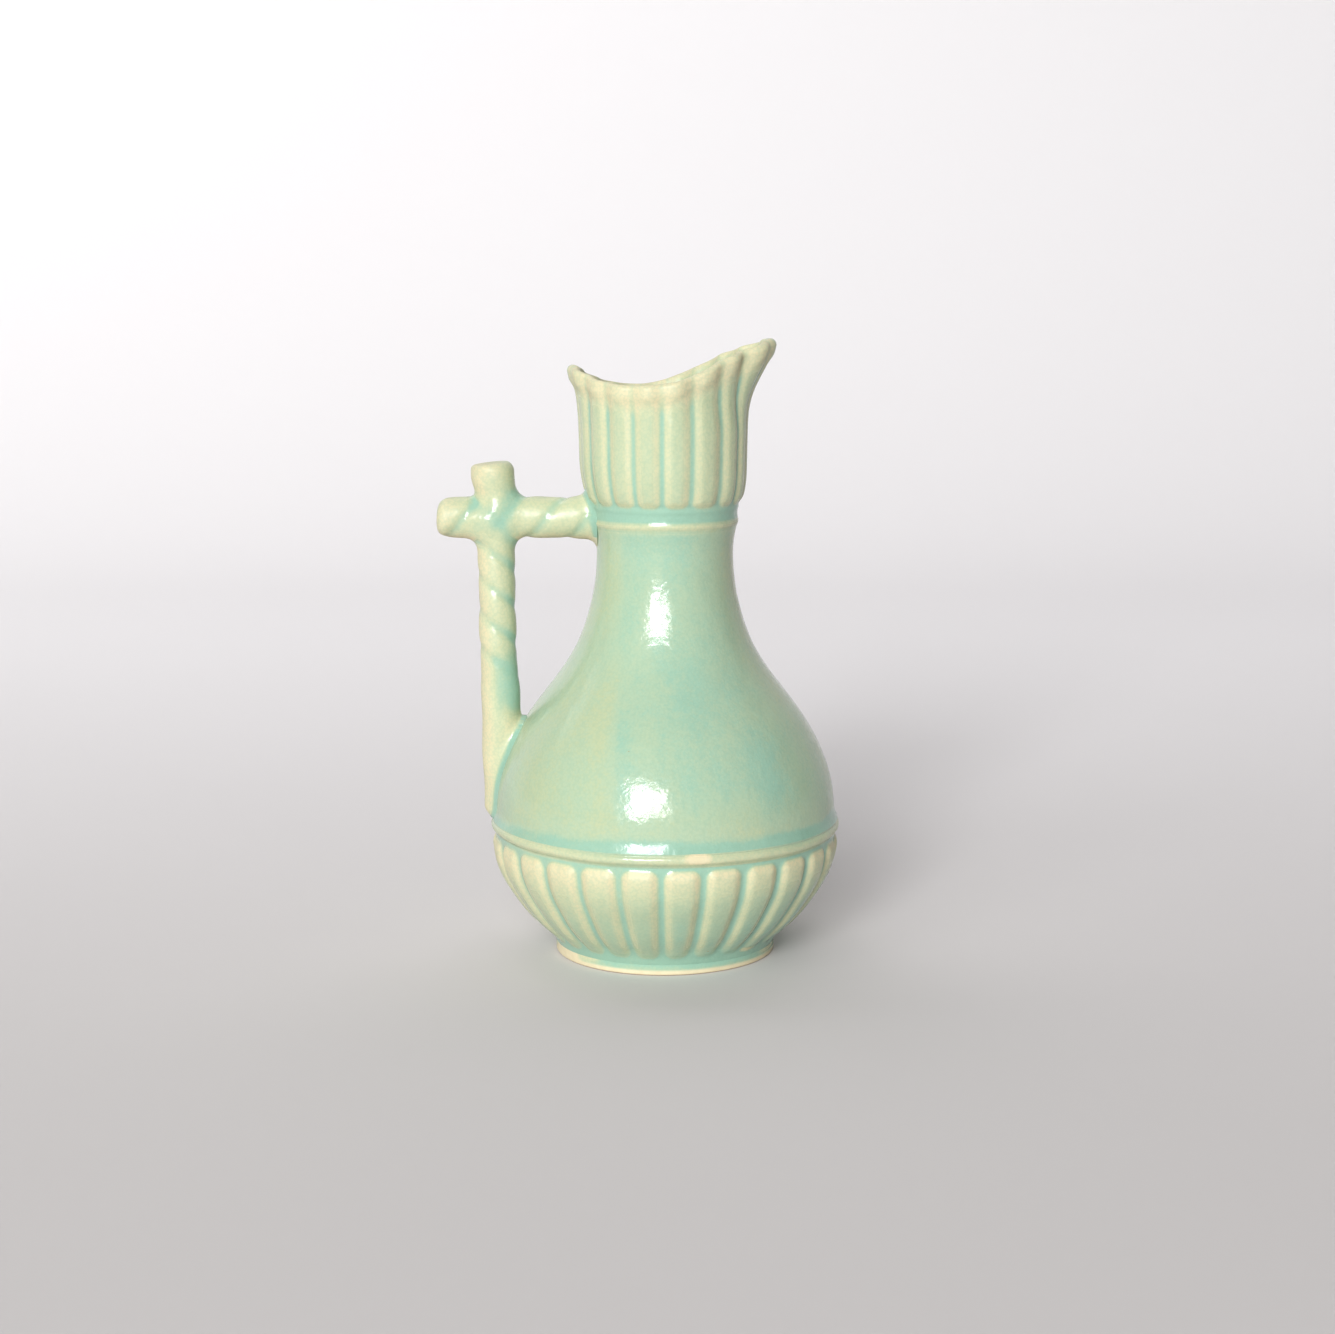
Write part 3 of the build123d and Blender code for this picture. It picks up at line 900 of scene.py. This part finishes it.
def stations(start, stop, step, fan_stop):
    """Places along a twig and each one's lean: level in between, and fanning out round its first end
    and, with fan_stop, round its last one too."""
    fan = np.radians(np.linspace(86, 4, fan_rings))
    places = np.arange(start, stop, step)
    lean = np.concatenate([-fan, np.zeros(len(places))])
    places = np.concatenate([np.full(fan_rings, start), places])
    if fan_stop:
        places = np.concatenate([places, np.full(fan_rings, places[-1])])
        lean = np.concatenate([lean, fan[::-1]])
    return places, lean


def twig_coat(rings):
    """Glaze on both twigs: thin on strand backs and free ends, and pooled in the valleys and in both kinds
    of corner.
    The standing twig is paler down its outer (left) side, partly thin glaze and partly painted light, and
    deeper down its inner side, partly pooled glaze and partly painted shade."""
    x, y, z = np.moveaxis(rings, -1, 0)
    bar_gap, post_gap, wall = gap_to_bar(x, y, z), gap_to_post(x, y, z), gap_to_body(x, y, z)
    on_bar = smooth_step(post_gap - bar_gap, -1.5, 1.5)
    crossing = smooth_step(5.0 - np.maximum(bar_gap, post_gap), 0, 4.5)
    joint = smooth_step(2.3 - wall, 0, 2.0)
    valley = on_bar * bar_valley(x, y, z) + (1 - on_bar) * post_valley(x, y, z)
    bar_tip = smooth_step(bar_end + 9 - x, 0, 8)
    post_tip = smooth_step(z - post_top + 8, 0, 7)
    # Deeper down the standing twig's inner side: partly pooled glaze, partly painted shade.
    under_bar = smooth_step(bar_level - 3.5 - z, 0, 2.5) * on_bar
    # Paler down the standing twig's outer, left side: partly thin glaze, partly painted light.
    inner = smooth_step(x - post_centre(z), 1.0, 5.0) * (1 - on_bar)
    outer = smooth_step(post_centre(z) - x, 0.5, 4.5) * (1 - on_bar)
    streak = bump_at(z, 90, 11) * smooth_step(x - post_centre(z), -4, 1) * (1 - on_bar)
    foot_glow = bump_at(z, 77, 4) * smooth_step(x - post_centre(z), 0, 3) * (1 - on_bar)
    pool = 0.42 * valley + 0.4 * crossing + 0.3 * inner + 0.55 * streak + 0.9 * joint
    thin = 0.6 + 0.3 * bar_tip + 0.25 * post_tip + 0.35 * under_bar + 0.4 * outer + 0.5 * foot_glow
    thin = thin - 0.2 * inner - 0.42 * valley - 0.45 * crossing - 0.6 * streak - 0.9 * joint
    rubbed = 0.52 * smooth_step(bar_level - 5.3 - z, 0, 0.9) * on_bar
    return np.stack([thin, pool, rubbed], -1)


along_x, along_y, along_z = np.eye(3)
bar_places, bar_lean = stations(bar_end + 5.0, bar_inner_end, 0.3, fan_stop=False)
bar_centre = np.stack([bar_places, 0 * bar_places, bar_level + 0 * bar_places], -1)
bar_rings = swept_twig(bar_centre, along_x, (along_y, along_z), bar_lean, gap_to_bar, gap_to_post)
crossbar = skin("handle_crossbar", bar_rings, twig_coat(bar_rings))
fired(crossbar, celadon, "handle_crossbar", "crossbar_joint")

post_places, post_lean = stations(post_foot + 4.5, post_top - 5.0, 0.35, fan_stop=True)
post_line = np.stack([post_centre(post_places), 0 * post_places, post_places], -1)
post_rings = swept_twig(post_line, along_z, (along_x, along_y), post_lean, gap_to_post, gap_to_bar)
upright = skin("handle_upright", post_rings, twig_coat(post_rings))
fired(upright, celadon, "handle_upright", "upright_joint")


def pool_at_joint(piece):
    """Deepens the glaze on the body where it runs into the corner under a twig."""
    count = len(piece.data.vertices)
    spots = np.zeros(3 * count, np.float32)
    piece.data.vertices.foreach_get("co", spots)
    x, y, z = (spots.reshape(-1, 3) / mm).T
    near = np.minimum(gap_to_bar(x, y, z), gap_to_post(x, y, z))
    layer = piece.data.attributes["glaze"]
    tint = np.zeros(4 * count, np.float32)
    layer.data.foreach_get("color", tint)
    tint = tint.reshape(-1, 4)
    wet = smooth_step(2.4 - near, 0, 2.2) * smooth_step(-x, 0, 8)
    tint[:, 0] *= 1 - wet
    tint[:, 1] = np.maximum(tint[:, 1], 0.75 * wet)
    layer.data.foreach_set("color", tint.ravel())


for piece in (belly, neck_bead, collar, girdle):
    pool_at_joint(piece)


# ------------------------------------------------------------
# Table and backdrop
# One wide sheet of pale grey paper, flat under the pitcher and curved up behind it. It is painted slightly
# warmer and darker towards the front and near white up the sweep: painted shade in front and painted light
# further back.
# ------------------------------------------------------------
sweep_width = 8.0
table_front = -2.5
curve_start = 0.9
curve_radius = 1.1
sweep_top = 5.0


def paper_sweep():
    """Flat table, quarter circle and upright sheet, carried straight across in X."""
    bend = np.linspace(0, math.pi / 2, 40)
    curve = np.stack([curve_start + curve_radius * np.sin(bend), curve_radius * (1 - np.cos(bend))], -1)
    run = np.linspace(table_front, curve_start, 12)[:-1]
    flat = np.stack([run, 0 * run], -1)
    rise = np.linspace(curve_radius, sweep_top, 10)[1:]
    upright_sheet = np.stack([curve_start + curve_radius + 0 * rise, rise], -1)
    outline = np.concatenate([flat, curve, upright_sheet])
    x = np.linspace(-sweep_width / 2, sweep_width / 2, 9)
    grid = np.zeros((len(outline), len(x), 3))
    grid[..., 0] = x
    grid[..., 1:] = outline[:, None, :]
    cell = np.arange(grid.shape[0] * grid.shape[1]).reshape(grid.shape[:2])
    quads = np.stack([cell[:-1, :-1], cell[:-1, 1:], cell[1:, 1:], cell[1:, :-1]], -1).reshape(-1, 4)
    mesh = bpy.data.meshes.new("paper_sweep")
    mesh.from_pydata(grid.reshape(-1, 3).tolist(), [], quads.tolist())
    mesh.polygons.foreach_set("use_smooth", np.ones(len(quads), bool))
    sheet = bpy.data.objects.new("paper_sweep", mesh)
    bpy.context.scene.collection.objects.link(sheet)
    return sheet


paper = Recipe("pale_paper")
parts = paper.tree.nodes.new("ShaderNodeSeparateXYZ")
paper.join(paper.place, parts.inputs[0])
# The paper's colour is painted darker towards the front and lighter up the sweep: painted shade and
# painted light.
tooth = paper.add(parts.outputs[1], paper.noise(3.0, 3.0, 0.5), 0.1)
painted_light_fade = paper.ramp(tooth, -0.3, 0.8)
shaded_near_grey = (0.59, 0.568, 0.562, 1.0)
lit_far_grey = (0.84, 0.822, 0.83, 1.0)
paper.join(paper.blend(painted_light_fade, shaded_near_grey, lit_far_grey), paper.shader.inputs["Base Color"])
paper.shader.inputs["Roughness"].default_value = 0.9
paper.shader.inputs["Specular IOR Level"].default_value = 0.2
backdrop = paper_sweep()
backdrop.data.materials.append(paper.material)


# ------------------------------------------------------------
# Light
# A tall two-pane window in front and a little to the left, a soft panel above and left of it, a weak
# panel high behind, a strip that brightens the backdrop from the left, and a faint even sky.
# ------------------------------------------------------------
pitcher_middle = np.array([0.0, 0.0, 0.11])


def soft_panel(name, bearing, elevation, distance, width, height, power):
    """Rectangular light facing the pitcher. Bearing is measured from the front, towards +X."""
    turn, tilt = math.radians(bearing), math.radians(elevation)
    away = np.array([math.sin(turn) * math.cos(tilt), -math.cos(turn) * math.cos(tilt), math.sin(tilt)])
    data = bpy.data.lights.new(name, "AREA")
    data.shape = "RECTANGLE"
    data.size = width
    data.size_y = height
    data.energy = power
    lamp = bpy.data.objects.new(name, data)
    lamp.location = (pitcher_middle + away * distance).tolist()
    direction = (pitcher_middle - np.array(lamp.location)).tolist()
    lamp.rotation_euler = Vector(direction).to_track_quat("-Z", "Y").to_euler()
    bpy.context.scene.collection.objects.link(lamp)
    return lamp


soft_panel("window_left_pane", -16.5, 19.0, 5.0, 1.35, 2.05, 205.0)
soft_panel("window_right_pane", -2.0, 19.5, 5.0, 0.62, 1.90, 68.0)
front_wall = soft_panel("front_wall", -32.0, 30.0, 4.0, 2.6, 2.4, 45.0)
front_wall.visible_glossy = False
soft_panel("back_wall", 180.0, 60.0, 3.0, 3.0, 2.0, 18.0)
wash = soft_panel("backdrop_wash", 180.0, 70.0, 2.0, 2.0, 0.8, 7.0)
wash.location = (-1.3, 0.6, 1.5)
wash.rotation_euler = (math.radians(40), 0, 0)
sky = bpy.data.worlds.new("pale_sky")
sky.use_nodes = True
sky.node_tree.nodes["Background"].inputs["Color"].default_value = (1.0, 1.0, 1.0, 1.0)
sky.node_tree.nodes["Background"].inputs["Strength"].default_value = 0.1
bpy.context.scene.world = sky
bpy.context.scene.view_settings.view_transform = "Standard"


# ------------------------------------------------------------
# Camera
# A long lens that stands in front of the pitcher, a little above its rim, and looks slightly down.
# The pitcher stays upright in the middle of the frame.
# ------------------------------------------------------------
downward_tilt = 9.45
camera_data = bpy.data.cameras.new("camera")
camera_data.sensor_width = 36.0
camera_data.lens = 67.4
camera_data.clip_start = 0.05
camera_data.clip_end = 50.0
camera = bpy.data.objects.new("camera", camera_data)
camera.location = (0.00085, -0.818, 0.2315)
camera.rotation_euler = (math.radians(90 - downward_tilt), 0, 0)
bpy.context.scene.collection.objects.link(camera)
bpy.context.scene.camera = camera
